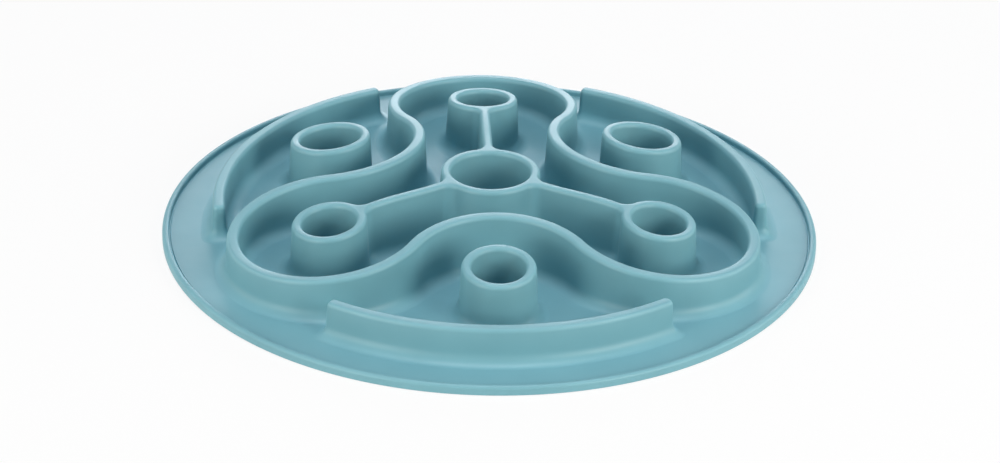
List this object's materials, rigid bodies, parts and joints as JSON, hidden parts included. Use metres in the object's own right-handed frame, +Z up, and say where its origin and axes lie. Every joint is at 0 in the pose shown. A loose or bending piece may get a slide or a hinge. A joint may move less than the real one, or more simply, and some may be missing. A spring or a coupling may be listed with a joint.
{
  "type": "slow feeder mat",
  "caption": "Round soft silicone feeding mat with a raised rim, a winding lobed wall, small cup rings, spokes and curved guard walls that slow a pet's eating.",
  "frame": {"origin": "centre of the flat underside", "axes": "+Z up out of the floor, +Y from the middle to the back lobe, +X to the right as seen from the front"},
  "size_m": [0.28, 0.28, 0.0279],
  "materials": {
    "silicone": "satin moulded silicone, teal blue, one colour throughout"
  },
  "bodies": {
    "root": {"base_mat": "silicone", "rim_bead": "silicone", "centre_ring": "silicone", "spoke_back": "silicone", "spoke_left": "silicone", "spoke_right": "silicone", "lobe_ring_back": "silicone", "lobe_ring_left": "silicone", "lobe_ring_right": "silicone", "lobe_wall_back": "silicone", "lobe_wall_left": "silicone", "lobe_wall_right": "silicone", "bay_wall_front": "silicone", "bay_wall_left": "silicone", "bay_wall_right": "silicone", "bay_ring_front": "silicone", "bay_ring_left": "silicone", "bay_ring_right": "silicone", "guard_wall_front": "silicone", "guard_wall_left": "silicone", "guard_wall_right": "silicone"}
  },
  "joints": []
}
